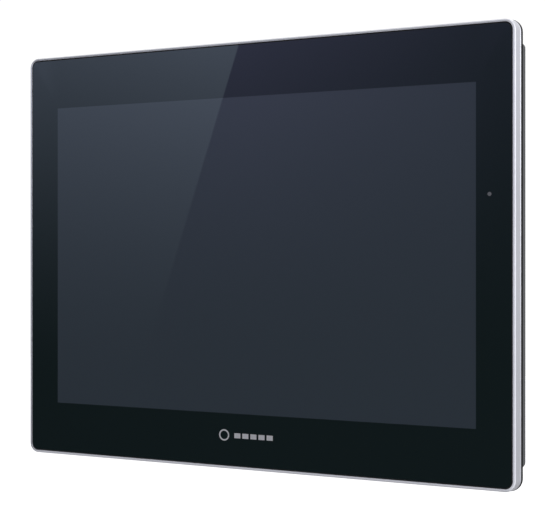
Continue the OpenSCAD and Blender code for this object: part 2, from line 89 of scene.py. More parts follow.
# %% [markdown]
# ## Studio
# Black glass shows whatever stands in front of it, so the studio is built for its reflection. The surroundings are
# bright above, behind and at the sides, which lights the metal and the housing, and dark in front of the glass.
# One tall soft light stands to the left front: its slanted edge draws the diagonal across the glass, and it fades
# downwards. The surroundings are a world shader, worked out from the direction of each ray, because a world costs no
# geometry and hides nothing from the other viewpoints. Rays that come straight from the camera see plain white.

# %% Small helpers for shader nodes
def add_node(tree, kind, **values):
    """Adds a shader node, and sets its properties and its unlinked inputs by name."""
    node = tree.nodes.new(kind)
    for key, value in values.items():
        if key in node.inputs:
            node.inputs[key].default_value = value
        else:
            setattr(node, key, value)
    return node


def wire(tree, source, target):
    """Links two sockets."""
    tree.links.new(source, target)


def math_node(tree, operation, first, second=0.0):
    """A Math node. Each operand is a socket or a number."""
    node = add_node(tree, "ShaderNodeMath", operation=operation)
    for socket, value in zip(node.inputs, (first, second)):
        if isinstance(value, bpy.types.NodeSocket):
            wire(tree, value, socket)
        else:
            socket.default_value = value
    return node.outputs[0]


def dot_node(tree, vector, direction):
    """The dot product of a vector socket with a fixed direction."""
    node = add_node(tree, "ShaderNodeVectorMath", operation="DOT_PRODUCT")
    wire(tree, vector, node.inputs[0])
    node.inputs[1].default_value = direction
    return node.outputs["Value"]


def step_node(tree, value, low, high):
    """Goes smoothly from 0 to 1 as value goes from low to high."""
    node = add_node(tree, "ShaderNodeMapRange", interpolation_type="SMOOTHSTEP")
    wire(tree, value, node.inputs["Value"])
    node.inputs["From Min"].default_value = low
    node.inputs["From Max"].default_value = high
    return node.outputs["Result"]


def fall_node(tree, value, low, high):
    """Goes smoothly from 1 to 0 as value goes from low to high."""
    return math_node(tree, "SUBTRACT", 1.0, step_node(tree, value, low, high))


def ramp_node(tree, value, span, result):
    """Maps a span of value on to a span of results, in a straight line, and holds the ends."""
    node = add_node(tree, "ShaderNodeMapRange")
    wire(tree, value, node.inputs["Value"])
    for key, number in zip(("From Min", "From Max", "To Min", "To Max"), (*span, *result)):
        node.inputs[key].default_value = number
    return node.outputs["Result"]


def product(tree, first, *others):
    """Multiplies sockets."""
    for other in others:
        first = math_node(tree, "MULTIPLY", first, other)
    return first


# %% The slanted edge of the tall light
def mirrored_plane(first, second):
    """The plane through the camera and two points of the glass, mirrored in the glass: it is the edge of a light."""
    eye = camera.location
    normal = (Vector(first) - eye).cross(Vector(second) - eye).normalized()
    return Vector((normal.x, -normal.y, normal.z))


SLANT_TOP = (glass_low.x + 0.4773 * glass_w, glass_low.y, glass_high.z)
SLANT_FOOT = (glass_low.x + 0.2623 * glass_w, glass_low.y, glass_low.z + 0.215 * glass_h)
slant = mirrored_plane(SLANT_TOP, SLANT_FOOT)
print("slanted edge lies in the plane with normal", tuple(round(v, 3) for v in slant))

# %% Directions of a ray
world = bpy.data.worlds.new("studio")
world.use_nodes = True
bpy.context.scene.world = world
sky = world.node_tree
sky.nodes.clear()
ray = add_node(sky, "ShaderNodeTexCoord").outputs["Generated"]
up = dot_node(sky, ray, (0, 0, 1))
forward = dot_node(sky, ray, (0, -1, 0))
side = dot_node(sky, ray, (1, 0, 0))
print("ray directions read")

# %% The room
# The dark part: in front and a little to the left, from below eye level to well above it.
in_front = step_node(sky, forward, 0.30, 0.65)
not_right = fall_node(sky, side, 0.02, 0.30)
not_high = fall_node(sky, up, 0.42, 1.00)
not_low = fall_node(sky, math_node(sky, "MULTIPLY", up, -1.0), 0.21, 0.40)
dark = product(sky, in_front, not_right, not_high, not_low)
# The bright part: brightest overhead, with stronger walls to the right and a pale floor.
overhead = product(sky, step_node(sky, up, -0.3, 0.9), ramp_node(sky, side, (-0.62, -0.42), (0.22, 0.52)))
right_front = product(sky, step_node(sky, side, 0.0, 0.4), step_node(sky, forward, 0.0, 0.5), 0.55)
right_wall = math_node(sky, "MULTIPLY", step_node(sky, side, 0.70, 0.95), 0.30)
pale_floor = product(sky, step_node(sky, forward, 0.0, 0.5), fall_node(sky, up, -0.5, -0.2), 0.30)
back_wall = math_node(sky, "MULTIPLY", fall_node(sky, forward, -0.95, -0.60), 0.13)
room = 0.33
for light in (overhead, right_front, right_wall, back_wall, pale_floor):
    room = math_node(sky, "ADD", light, room)
# The far left is dim below eye level and bright above it.
left_tone = product(sky, fall_node(sky, side, -0.90, -0.70), ramp_node(sky, up, (-0.16, 0.16), (-0.70, 0.30)))
room = product(sky, room, math_node(sky, "SUBTRACT", 1.0, dark), math_node(sky, "ADD", 1.0, left_tone))
print("room made of a base light and 5 brighter parts")

# %% The tall light
# The soft light left of the slanted edge, strong above and gone a little below eye level. Right of the edge there
# is only a weak, bluer remainder, which thins out towards the right.
lift = math_node(sky, "MAXIMUM", math_node(sky, "ADD", up, 0.115), 0.0)
fade = math_node(sky, "POWER", lift, 1.9)
left_of_slant = step_node(sky, dot_node(sky, ray, slant), -0.0005, 0.0005)
right_of_slant = math_node(sky, "SUBTRACT", 1.0, left_of_slant)
left_glow = product(sky, dark, fade, left_of_slant, fall_node(sky, up, 0.175, 0.215),
                    ramp_node(sky, side, (-0.58, -0.46), (10.2, 13.5)))
right_glow = product(sky, dark, fade, right_of_slant, fall_node(sky, up, 0.21, 0.28),
                     ramp_node(sky, side, (-0.44, -0.24), (4.8, 1.6)))
print("tall light made, bright left of its slanted edge and weak right of it")

# %% The finished world
parts = []
for colour, strength in (((1.0, 1.0, 1.02, 1), room), ((0.85, 1.0, 1.39, 1), left_glow),
                         ((1.05, 1.0, 1.95, 1), right_glow)):
    background = add_node(sky, "ShaderNodeBackground", Color=colour)
    wire(sky, strength, background.inputs["Strength"])
    parts.append(background.outputs[0])
studio = parts[0]
for part in parts[1:]:
    adder = add_node(sky, "ShaderNodeAddShader")
    wire(sky, studio, adder.inputs[0])
    wire(sky, part, adder.inputs[1])
    studio = adder.outputs[0]
plain_white = add_node(sky, "ShaderNodeBackground", Color=(1, 1, 1, 1), Strength=1.05)
choose = add_node(sky, "ShaderNodeMixShader")
wire(sky, add_node(sky, "ShaderNodeLightPath").outputs["Is Camera Ray"], choose.inputs[0])
wire(sky, studio, choose.inputs[1])
wire(sky, plain_white.outputs[0], choose.inputs[2])
wire(sky, choose.outputs[0], add_node(sky, "ShaderNodeOutputWorld").inputs["Surface"])
print("studio world made with", len(sky.nodes), "nodes")

# %% [markdown]
# ## Lights
# The world already lights everything softly. Three large, weak area lights add direction, as soft boxes do in a
# studio: one high in front, one far to the right for the frame's side, and one behind, so that the rear housing
# isn't a flat dark shape. Area lights were chosen because their size keeps the shadows soft.

# %% Lights
def soft_light(name, place, target, size, power):
    """A square area light at place that looks at target, and that the camera doesn't see."""
    data = bpy.data.lights.new(name, "AREA")
    data.size = size
    data.energy = power
    lamp = bpy.data.objects.new(name, data)
    lamp.location = place
    lamp.rotation_euler = (Vector(target) - Vector(place)).to_track_quat("-Z", "Y").to_euler()
    lamp.visible_camera = False
    bpy.context.scene.collection.objects.link(lamp)
    return lamp


soft_light("key_high_front", (-0.4, -1.3, 1.5), (0, 0, 0), 1.0, 1)
soft_light("rim_right", (1.6, 0.2, 0.4), (0.15, 0, 0), 0.8, 3)
soft_light("rear_fill", (-0.6, 1.6, 1.0), (0, 0.05, 0), 1.2, 12)
print("3 area lights")

# %% [markdown]
# ## Material tools
# Every finish starts from one Principled shader. What is the same all over is set straight on its sockets. What varies,
# such as grain, smudges and wear, comes from noise on Object coordinates, so a pattern has a real size in metres.

# %% Material helpers
def finish(name, colour, roughness=0.5, metallic=0.0, **sockets):
    """A material with one Principled shader. Returns the material, its tree and the shader."""
    material = bpy.data.materials.new(name)
    material.use_nodes = True
    tree = material.node_tree
    shader = tree.nodes["Principled BSDF"]
    shader.inputs["Base Color"].default_value = (*colour, 1.0)
    shader.inputs["Roughness"].default_value = roughness
    shader.inputs["Metallic"].default_value = metallic
    for key, value in sockets.items():
        shader.inputs[key.replace("_", " ")].default_value = value
    return material, tree, shader


def object_noise(tree, scale, detail=2.0, stretch=(1, 1, 1)):
    """Noise on Object coordinates. scale is in waves per metre, and stretch makes streaks."""
    place = add_node(tree, "ShaderNodeTexCoord").outputs["Object"]
    mapping = add_node(tree, "ShaderNodeMapping", Scale=stretch)
    wire(tree, place, mapping.inputs["Vector"])
    noise = add_node(tree, "ShaderNodeTexNoise", Scale=scale, Detail=detail)
    wire(tree, mapping.outputs["Vector"], noise.inputs["Vector"])
    return noise.outputs["Fac"]


def spread(tree, value, low, high):
    """Maps a 0 to 1 value on to low to high."""
    node = add_node(tree, "ShaderNodeMapRange")
    wire(tree, value, node.inputs["Value"])
    node.inputs["From Min"].default_value = 0.3
    node.inputs["From Max"].default_value = 0.7
    node.inputs["To Min"].default_value = low
    node.inputs["To Max"].default_value = high
    return node.outputs["Result"]


def two_tone(tree, shader, value, first, second):
    """Mixes the base colour between two colours by value."""
    mix = add_node(tree, "ShaderNodeMix", data_type="RGBA")
    wire(tree, value, mix.inputs["Factor"])
    mix.inputs["A"].default_value = (*first, 1)
    mix.inputs["B"].default_value = (*second, 1)
    wire(tree, mix.outputs["Result"], shader.inputs["Base Color"])


def grain(tree, shader, value, depth, strength=0.5):
    """Raises the surface by value, depth metres at most."""
    bump = add_node(tree, "ShaderNodeBump", Strength=strength, Distance=depth)
    wire(tree, value, bump.inputs["Height"])
    wire(tree, bump.outputs["Normal"], shader.inputs["Normal"])


def shade(colour, factor):
    """The same colour, lighter or darker."""
    return tuple(min(1.0, c * factor) for c in colour)


# %% [markdown]
# ## Plastics, coats and metals
# A moulded or powder-coated part has a fine even grain and a gloss that varies a little over a hand's width. A metal
# part has a grain too, but rolling, drawing or grinding stretches it in one direction. Both could be made with image
# textures. Noise was chosen, because it has no seams on solids that have no unwrapped surface.

# %% Plastics, coats and metals
def moulded(name, colour, roughness, grain_size=0.0006, depth=0.00002, sheen=0.5):
    """Moulded plastic or paint: a fine even grain, and a gloss that varies a little. sheen is how much it mirrors."""
    material, tree, shader = finish(name, colour, roughness, Specular_IOR_Level=sheen)
    fine = object_noise(tree, 1 / grain_size, 3)
    broad = object_noise(tree, 25, 3)
    wire(tree, spread(tree, broad, roughness - 0.05, roughness + 0.05), shader.inputs["Roughness"])
    two_tone(tree, shader, broad, shade(colour, 0.92), shade(colour, 1.08))
    grain(tree, shader, fine, depth)
    return material


def metal(name, colour, roughness, streak=(1, 1, 1), grain_size=0.0004, depth=0.00001, metallic=1.0):
    """Rolled, plated, anodised or machined metal: streaked grain in one direction."""
    material, tree, shader = finish(name, colour, roughness, metallic)
    lines = object_noise(tree, 1 / grain_size, 3, streak)
    broad = object_noise(tree, 30, 2)
    wire(tree, spread(tree, lines, roughness - 0.06, roughness + 0.06), shader.inputs["Roughness"])
    two_tone(tree, shader, broad, shade(colour, 0.95), shade(colour, 1.05))
    grain(tree, shader, lines, depth, 0.35)
    return material


# %% [markdown]
# ## The finishes
# The border of the glass is black ink printed on its back, so it is a very dark, very smooth surface. The window is the
# same glass over a switched-off display: a little lighter, a little bluer, and less mirror-like behind the polariser.

# %% Glass
def printed_glass(name, colour, specular):
    """Glass over a flat dark layer: mirror-smooth, with the faintest haze from cleaning."""
    material, tree, shader = finish(name, colour, 0.01, IOR=1.5, Specular_IOR_Level=specular)
    haze = object_noise(tree, 9, 4, (1, 1, 2.5))
    wire(tree, spread(tree, haze, 0.004, 0.014), shader.inputs["Roughness"])
    return material


border_glass = printed_glass("border_glass", (0.0116, 0.0202, 0.0214), 0.5)
window_glass = printed_glass("window_glass", (0.0425, 0.0556, 0.0705), 0.5)

inked_edge = moulded("inked_edge", (0.004, 0.004, 0.005), 0.7)
print("glass finishes:", border_glass.name, window_glass.name, inked_edge.name)

# %% [markdown]
# ## One finish for each engineered slot
# The engineered pieces name their materials by slot, such as zinc_screws. Here each slot gets its finish. The frame is
# satin anodised aluminium, sheet parts are plated steel, the housing is powder-coated, and the seal is closed-cell
# foam, which mirrors almost nothing.

# %% Metals
anodised = metal("anodised_trim", (0.85, 0.86, 0.92), 0.38, (1, 1, 1), 0.00035, 0.000008, 0.9)
steel = metal("plated_steel", (0.70, 0.71, 0.72), 0.34, (1, 6, 1), 0.0006)
nickel = metal("nickel_shell", (0.76, 0.75, 0.73), 0.33, (1, 1, 1), 0.0016, 0.000002)
zinc = metal("zinc_screw", (0.66, 0.67, 0.70), 0.35)
brass = metal("machined_brass", (0.78, 0.60, 0.30), 0.30, (1, 8, 1))
gold = metal("gold_contact", (0.95, 0.70, 0.28), 0.22)
milled = metal("milled_aluminium", (0.78, 0.79, 0.81), 0.33, (8, 1, 1))
black_oxide = metal("black_oxide", (0.035, 0.035, 0.038), 0.42, metallic=0.6)
print("8 metals")

# %% Coats, plastics and boards
powder_coat = moulded("powder_coat", (0.072, 0.076, 0.081), 0.55, 0.0009, 0.00005)
door_plastic = moulded("door_plastic", (0.060, 0.063, 0.068), 0.48, 0.0005, 0.00003)
carrier_plastic = moulded("carrier_plastic", (0.014, 0.015, 0.017), 0.6, sheen=0.2)
seal_foam = moulded("seal_foam", (0.012, 0.012, 0.012), 0.9, 0.0008, 0.00008, 0.15)
tape_black = moulded("tape_black", (0.014, 0.014, 0.014), 0.8)
chip_epoxy = moulded("chip_epoxy", (0.022, 0.022, 0.024), 0.45)
terminal_green = moulded("terminal_green", (0.020, 0.190, 0.075), 0.42)
dip_red = moulded("dip_red", (0.42, 0.020, 0.015), 0.35)
button_red = moulded("button_red", (0.50, 0.022, 0.018), 0.32)
lever_white = moulded("lever_white", (0.80, 0.80, 0.77), 0.35)
film_white = moulded("film_white", (0.82, 0.82, 0.80), 0.6)
led_yellow = moulded("led_yellow", (0.85, 0.75, 0.35), 0.4)
flex_amber = moulded("flex_amber", (0.36, 0.14, 0.02), 0.3)
pad_blue = moulded("pad_blue", (0.18, 0.27, 0.38), 0.85)
clear_plastic = finish("clear_plastic", (0.55, 0.60, 0.62), 0.12)[0]
label_silver = metal("label_silver", (0.40, 0.41, 0.43), 0.42, (12, 1, 1), 0.0005)
board_mask = moulded("board_mask", (0.010, 0.085, 0.040), 0.32)
print("coats, plastics and the board's solder mask made")

# %% Finishes for details
port_black = moulded("port_black", (0.016, 0.016, 0.017), 0.4)
tongue_blue = moulded("tongue_blue", (0.015, 0.060, 0.300), 0.35)
lens_green = finish("lens_green", (0.10, 0.42, 0.12), 0.15, Coat_Weight=0.5)[0]
lens_yellow = finish("lens_yellow", (0.62, 0.42, 0.06), 0.15, Coat_Weight=0.5)[0]
ink_silver = metal("ink_silver", (0.60, 0.60, 0.62), 0.45, metallic=0.3)
ink_grey = moulded("ink_grey", (0.10, 0.10, 0.105), 0.6)
pipe_smoke = finish("pipe_smoke", (0.150, 0.155, 0.165), 0.2, Coat_Weight=0.4)[0]
print(len(bpy.data.materials), "finishes in all")

# %% Finish of each slot
FINISH_OF_SLOT = {
    "silver_trim": anodised, "front_glass": border_glass, "clear_film": clear_plastic, "tape_black": tape_black,
    "carrier_black": carrier_plastic, "seal_rubber": seal_foam, "bright_steel": steel,
    "display_glass": window_glass, "white_film": film_white, "led_strip": led_yellow, "zinc_screws": zinc,
    "clear_plastic": clear_plastic, "board_green": board_mask, "brass_parts": brass, "housing_grey": powder_coat,
    "door_grey": door_plastic, "black_screws": black_oxide, "label_silver": label_silver,
    "chip_black": chip_epoxy, "pad_blue": pad_blue, "bare_aluminium": milled, "flex_amber": flex_amber,
    "dip_red": dip_red, "lever_white": lever_white, "button_red": button_red, "terminal_green": terminal_green,
}
slot_of_node = {part["node"]: part["material_slot"] for part in frame["record"]["subparts"]}
for node_name, node_object in frame["nodes"].items():
    node_object.data.materials.clear()
    node_object.data.materials.append(FINISH_OF_SLOT[slot_of_node[node_name]])
print(len(FINISH_OF_SLOT), "finishes on", len(slot_of_node), "nodes")


# %% [markdown]
# ## Modelling tools
# Two shapes do most of the work. A plate is a rectangle whose corners are bevelled round and which is then extruded. A
# ring is an edge profile spun round each corner and pulled along each side, as a frame or a seal is drawn.
# Everything else is a small box, a turned shape, or an engineered solid whose sharp edges are rounded.

# %% Modelling helpers
def finished(name, mesh_data, materials, body=ROOT, slot=None, replaces=(), crease=radians(32)):
    """Makes an object of a bmesh, already in its place, with its materials, smooth faces and sharp creases."""
    mesh = bpy.data.meshes.new(name)
    mesh_data.to_mesh(mesh)
    mesh_data.free()
    for material in materials:
        mesh.materials.append(material)
    mesh.shade_smooth()
    mesh.set_sharp_from_angle(angle=crease)
    piece = bpy.data.objects.new(name, mesh)
    bpy.context.scene.collection.objects.link(piece)
    # Flat faces keep their own normal, so that all the turning happens in the narrow rounded edges.
    flatten = piece.modifiers.new("flat faces stay flat", "WEIGHTED_NORMAL")
    flatten.keep_sharp = True
    flatten.weight = 100
    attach(piece, body)
    if replaces:
        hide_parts(*replaces)
    print(name, len(mesh.polygons), "faces")
    return piece


def block(bm, low, high, round_edges=0.0, segments=2):
    """A box between two corners, with its edges rounded."""
    made = bmesh.ops.create_cube(bm, size=1.0)["verts"]
    low, high = Vector(low), Vector(high)
    bmesh.ops.scale(bm, vec=high - low, verts=made)
    bmesh.ops.translate(bm, vec=(low + high) / 2, verts=made)
    if round_edges:
        edges = list({e for v in made for e in v.link_edges})
        bmesh.ops.bevel(bm, geom=edges, offset=round_edges, segments=segments, profile=0.5,
                        affect="EDGES", material=-1)


def blocks(name, boxes, material, slot, round_edges=0.0, body=ROOT):
    """Several small boxes as one piece."""
    bm = bmesh.new()
    for low, high in boxes:
        block(bm, low, high, round_edges)
    return finished(name, bm, [material], body, slot)


def lathe(bm, outline, centre, axis, steps=32):
    """Spins an outline of (radius, distance along the axis) once round the axis through centre."""
    axis = Vector(axis).normalized()
    out = axis.orthogonal().normalized()
    verts = [bm.verts.new(Vector(centre) + out * radius + axis * along) for radius, along in outline]
    edges = [bm.edges.new(pair) for pair in zip(verts, verts[1:])]
    bmesh.ops.spin(bm, geom=verts + edges, cent=centre, axis=axis, angle=2 * pi, steps=steps, use_merge=True)
    bmesh.ops.remove_doubles(bm, verts=bm.verts, dist=1e-7)
    bmesh.ops.recalc_face_normals(bm, faces=bm.faces)


def plate(bm, centre, width, height, radius, front, back, round_front=0.0, steps=8):
    """A plate with round corners between two levels of Y. Returns its front face."""
    grid = bmesh.ops.create_grid(bm, x_segments=1, y_segments=1, size=0.5)
    corners = grid["verts"]
    bmesh.ops.scale(bm, vec=(width, height, 1), verts=corners)
    bmesh.ops.rotate(bm, cent=(0, 0, 0), matrix=Matrix.Rotation(pi / 2, 3, "X"), verts=corners)
    bmesh.ops.translate(bm, vec=(centre[0], back, centre[1]), verts=corners)
    if radius:
        bmesh.ops.bevel(bm, geom=corners, offset=radius, segments=steps, profile=0.5,
                        affect="VERTICES", material=-1)
    base = max((f for f in bm.faces if abs(f.calc_center_median().y - back) < 1e-6), key=lambda f: f.calc_area())
    pulled = bmesh.ops.extrude_face_region(bm, geom=[base])
    front_verts = [g for g in pulled["geom"] if isinstance(g, bmesh.types.BMVert)]
    bmesh.ops.translate(bm, vec=(0, front - back, 0), verts=front_verts)
    front_face = [g for g in pulled["geom"] if isinstance(g, bmesh.types.BMFace)][0]
    bmesh.ops.recalc_face_normals(bm, faces=bm.faces)
    if round_front:
        bmesh.ops.bevel(bm, geom=list(front_face.edges), offset=round_front, segments=3, profile=0.5,
                        affect="EDGES", material=-1)
    return max((f for f in bm.faces if abs(f.calc_center_median().y - front) < 1e-6), key=lambda f: f.calc_area())


def ring(bm, width, height, radius, profile, steps=10):
    """Sweeps a closed profile round a rectangle with round corners. A profile point is (out from the corner's
    centre, y)."""
    corner_x, corner_z = width / 2 - radius, height / 2 - radius
    start = [bm.verts.new((corner_x + out, y, corner_z)) for out, y in profile]
    edges = [bm.edges.new((start[i], start[(i + 1) % len(start)])) for i in range(len(start))]
    centre = Vector((corner_x, 0, corner_z))
    walk = [Vector((-2 * corner_x, 0, 0)), Vector((0, 0, -2 * corner_z)),
            Vector((2 * corner_x, 0, 0)), Vector((0, 0, 2 * corner_z))]
    for move in walk:
        spun = bmesh.ops.spin(bm, geom=edges, cent=centre, axis=(0, -1, 0), angle=pi / 2, steps=steps,
                              use_merge=False)
        edges = [g for g in spun["geom_last"] if isinstance(g, bmesh.types.BMEdge)]
        pulled = bmesh.ops.extrude_edge_only(bm, edges=edges)
        verts = [g for g in pulled["geom"] if isinstance(g, bmesh.types.BMVert)]
        bmesh.ops.translate(bm, vec=move, verts=verts)
        edges = [g for g in pulled["geom"] if isinstance(g, bmesh.types.BMEdge)]
        centre = centre + move
    bmesh.ops.remove_doubles(bm, verts=bm.verts, dist=1e-7)
    bmesh.ops.recalc_face_normals(bm, faces=bm.faces)


def softened(node, width, materials=None, paint=None, body=ROOT, segments=2):
    """A copy of an engineered solid with its sharp edges rounded, which then stands for it.

    paint tells from a face's middle which of the materials it takes."""
    bm = bmesh.new()
    bm.from_mesh(frame["nodes"][node].data)
    bmesh.ops.remove_doubles(bm, verts=bm.verts, dist=2e-6)
    bmesh.ops.dissolve_limit(bm, angle_limit=radians(1.0), verts=bm.verts, edges=bm.edges)
    sharp = [e for e in bm.edges if e.is_manifold and e.calc_face_angle(0) > radians(40)]
    bmesh.ops.bevel(bm, geom=sharp, offset=width, segments=segments, profile=0.5, affect="EDGES",
                    clamp_overlap=True, material=-1)
    if paint:
        for face in bm.faces:
            face.material_index = paint(face.calc_center_median())
    slot = slot_of_node[node]
    return finished(node + "_soft", bm, materials or [FINISH_OF_SLOT[slot]], body, slot, [node])


# %% [markdown]
# ## The front
# The glass is one plate with a fine ground edge. Four cuts across its front face mark out the window, which then
# takes its own finish, so the window's outline is as sharp as the ink's edge on the real pane.

# %% Cover glass
WINDOW_W, WINDOW_H = 314 * MM, 216 * MM
GLASS_CORNER = 4.6 * MM
GROUND_EDGE = 0.3 * MM
LEVEL_TOLERANCE = 1e-6


def cover_glass():
    """The glass plate with its window face."""
    bm = bmesh.new()
    plate(bm, (0, 0), glass_w, glass_h, GLASS_CORNER, glass_low.y, glass_high.y, GROUND_EDGE)
    for axis, half in (((1, 0, 0), WINDOW_W / 2), ((0, 0, 1), WINDOW_H / 2)):
        for sign in (-1, 1):
            normal = Vector(axis)
            flat = [f for f in bm.faces if abs(f.calc_center_median().y - glass_low.y) < LEVEL_TOLERANCE]
            geom = list({g for f in flat for g in (f, *f.edges, *f.verts)})
            bmesh.ops.bisect_plane(bm, geom=geom, plane_co=normal * sign * half, plane_no=normal,
                                   dist=LEVEL_TOLERANCE)
    for face in bm.faces:
        middle = face.calc_center_median()
        inside = abs(middle.x) < WINDOW_W / 2 and abs(middle.z) < WINDOW_H / 2
        if middle.y > glass_low.y + LEVEL_TOLERANCE:
            face.material_index = 2
        elif inside:
            face.material_index = 1
    return finished("front_pane", bm, [border_glass, window_glass, inked_edge], slot="front_glass",
                    replaces=["cover_glass"])


cover_glass()

# %% [markdown]
# ## Trim frame
# The frame is one aluminium extrusion, bent or mitred and then anodised to a fine satin. It could be a bevelled box
# with a hole. Its section matters more, because each narrow flat catches another part of the studio, so the section
# is drawn point by point and swept round. Its points are (out from the corner's centre, back from the front), in mm.

# %% Trim frame
FRAME_CORNER = 8 * MM


def trim_frame():
    """The metal frame: a flat lip, a bright chamfer, a slightly drafted side and a small rear rim."""
    low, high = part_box("trim_frame")
    depth = (high.y - low.y) / MM
    outline = [(5.05, 0.15), (5.15, 0.0), (6.15, 0.20), (6.28, 0.27), (6.78, 0.66), (6.88, 0.82),
               (7.66, depth - 1.05), (7.72, depth - 0.90), (7.96, depth - 0.52), (8.0, depth - 0.42),
               (8.0, depth - 0.18), (7.95, depth - 0.06), (7.82, depth), (5.05, depth)]
    profile = [(out * MM, low.y + y * MM) for out, y in outline]
    bm = bmesh.new()
    ring(bm, high.x - low.x, high.z - low.z, FRAME_CORNER, profile, 12)
    return finished("trim_ring", bm, [anodised], slot="silver_trim", replaces=["trim_frame"], crease=radians(25))


trim_frame()

# %% [markdown]
# ## Printed mark and indicator
# A maker prints a mark in silver ink low on the glass. Here it is only a plain ring and five bars. Ink could be
# painted in a material. Thin raised shapes were chosen, because their outline stays sharp at any distance. The
# indicator is a small smoked disc over the light pipe, and it is off.

# %% Printed mark and indicator
MARK_HEIGHT = -123 * MM
INK_THICKNESS = 0.03 * MM


def printed_mark():
    """A plain ring and a row of short bars in silver ink, low on the border."""
    face = glass_low.y
    inner, outer = 2.9 * MM, 3.9 * MM
    bar_w, bar_h, pitch, first_left = 4.6 * MM, 3.4 * MM, 6.1 * MM, -11.5 * MM
    bm = bmesh.new()
    lathe(bm, [(inner, 0), (inner, INK_THICKNESS), (outer, INK_THICKNESS), (outer, 0), (inner, 0)],
          (-19.3 * MM, face, MARK_HEIGHT), (0, -1, 0), 48)
    for k in range(5):
        left = first_left + pitch * k
        block(bm, (left, face - INK_THICKNESS, MARK_HEIGHT - bar_h / 2),
              (left + bar_w, face, MARK_HEIGHT + bar_h / 2))
    return finished("printed_mark", bm, [ink_silver], slot="front_glass")


def indicator_lens():
    """The small smoked window over the indicator's light pipe."""
    low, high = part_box("indicator_light_pipe")
    centre = ((low.x + high.x) / 2, glass_low.y, (low.z + high.z) / 2)
    bm = bmesh.new()
    lathe(bm, [(0, 0.05 * MM), (0.7 * MM, 0.045 * MM), (1.1 * MM, 0.03 * MM), (1.25 * MM, 0), (0, 0)],
          centre, (0, -1, 0), 32)
    return finished("indicator_lens", bm, [pipe_smoke], slot="clear_plastic")


printed_mark()
indicator_lens()

# %% [markdown]
# ## The rear
# The rear housing is an aluminium casting with a fine powder coat. A casting has no sharp edge, so the engineered
# solid is copied, its triangles are joined into whole faces again, and each sharp edge is rounded by a bevel.

# %% Rear housing, carrier and their screws
softened("rear_housing", 0.35 * MM)
softened("service_door", 0.2 * MM, body="service_door")
softened("front_carrier", 0.15 * MM)
softened("cover_screws", 0.12 * MM)
softened("ground_screw", 0.15 * MM)
softened("mount_inserts", 0.15 * MM)
softened("io_plate", 0.1 * MM)


# %% [markdown]
# ## Panel seal
# The seal is a strip of closed-cell foam that runs round behind the frame. Here its outer side reaches a little past
# the frame, so its black shows as a dark line there: painted shade for the shadowed gap between the frame and the
# housing. The engineered seal is a plain strip. This one is a new ring of the same thickness, with a rounded outer
# side.

# %% Panel seal
def panel_seal():
    """The foam strip between the frame and the door, its outer side past the frame as a painted shade line."""
    low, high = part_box("panel_seal")
    trim_low, trim_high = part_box("trim_frame")
    thick = high.y - low.y
    # The outer side, out to 8.4 mm, stands past the frame's 8.0 mm, so the black foam paints a shade line past the
    # frame.
    outline = [(1.6, 0), (7.9, 0), (8.25, 0.12), (8.4, 0.35), (8.4, 0.65), (8.25, 0.88), (7.9, 1), (1.6, 1)]
    bm = bmesh.new()
    ring(bm, trim_high.x - trim_low.x, trim_high.z - trim_low.z, FRAME_CORNER,
         [(out * MM, low.y + part * thick) for out, part in outline])
    return finished("seal_and_painted_shade_line", bm, [seal_foam], slot="seal_rubber", replaces=["panel_seal"])


panel_seal()


# %% [markdown]
# ## Rating plate
# A rating plate is a thin aluminium sheet with printed fields. It carries no text here, only its ruled lines. They are
# thin raised bars, like the mark on the front, and stand just proud of the sheet.

# %% Rating plate
def rating_plate():
    """A blank metal plate with a printed outline and empty fields, as on a plate before its data is printed."""
    low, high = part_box("rating_plate")
    back = high.y
    bm = bmesh.new()
    inset, line = 2.0 * MM, 0.4 * MM
    left, right, foot, top = low.x + inset, high.x - inset, low.z + inset, high.z - inset
    third = (top - foot) / 3
    half = (left + right) / 2
    proud = 0.02 * MM
    for x0, z0, x1, z1 in ((left, top - line, right, top), (left, foot, right, foot + line),
                           (left, foot, left + line, top), (right - line, foot, right, top),
                           (left, foot + third, right, foot + third + line),
                           (left, foot + 2 * third, right, foot + 2 * third + line),
                           (half, foot, half + line, foot + 2 * third)):
        block(bm, (x0, back, z0), (x1, back + proud, z1))
    finished("rating_plate_print", bm, [ink_grey], slot="label_silver")


rating_plate()
softened("rating_plate", 0.1 * MM)

# %% [markdown]
# ## The connector row
# Each connector is one engineered solid. Real ones are made of several materials, so each copy is painted by place:
# the faces inside a socket's mouth are black plastic, the contacts are gold, the shell is nickel.

# %% Network sockets
def network_socket(node, number):
    """A shielded socket with black inside, gold contacts and two small lights."""
    low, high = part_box(node)
    middle = (low.x + high.x) / 2

    def paint(point):
        across, deep, rise = abs(point.x - middle), point.y - low.y, point.z - low.z
        if rise > 0.05 * MM and across < 6.0 * MM and 2.1 * MM < deep < 11.5 * MM and rise < 13.1 * MM:
            return 2 if deep < 3.0 * MM and across < 4.0 * MM and rise > 1.3 * MM and deep > 2.25 * MM else 1
        return 0

    softened(node, 0.1 * MM, [nickel, port_black, gold], paint)
    for side_name, sign, lens in (("left", -1, lens_green), ("right", 1, lens_yellow)):
        centre_x = middle + sign * 5.6 * MM
        blocks(f"socket_{number}_light_{side_name}",
               [((centre_x - 1.3 * MM, low.y + 10.2 * MM, low.z - 0.15 * MM),
                 (centre_x + 1.3 * MM, low.y + 12.2 * MM, low.z + 0.2 * MM))], lens, "clear_plastic", 0.1 * MM)


network_socket("ethernet_jack_1", 1)
network_socket("ethernet_jack_2", 2)


# %% [markdown]
# ## Data sockets
# A data socket is a folded steel shell round a plastic tongue. The tongue takes its colour from its place between two
# levels. The contacts are only foil on the tongue, so they are thin new boxes and not cuts.

# %% Data sockets
DATA_SOCKET_X = (33 * MM, 50 * MM)


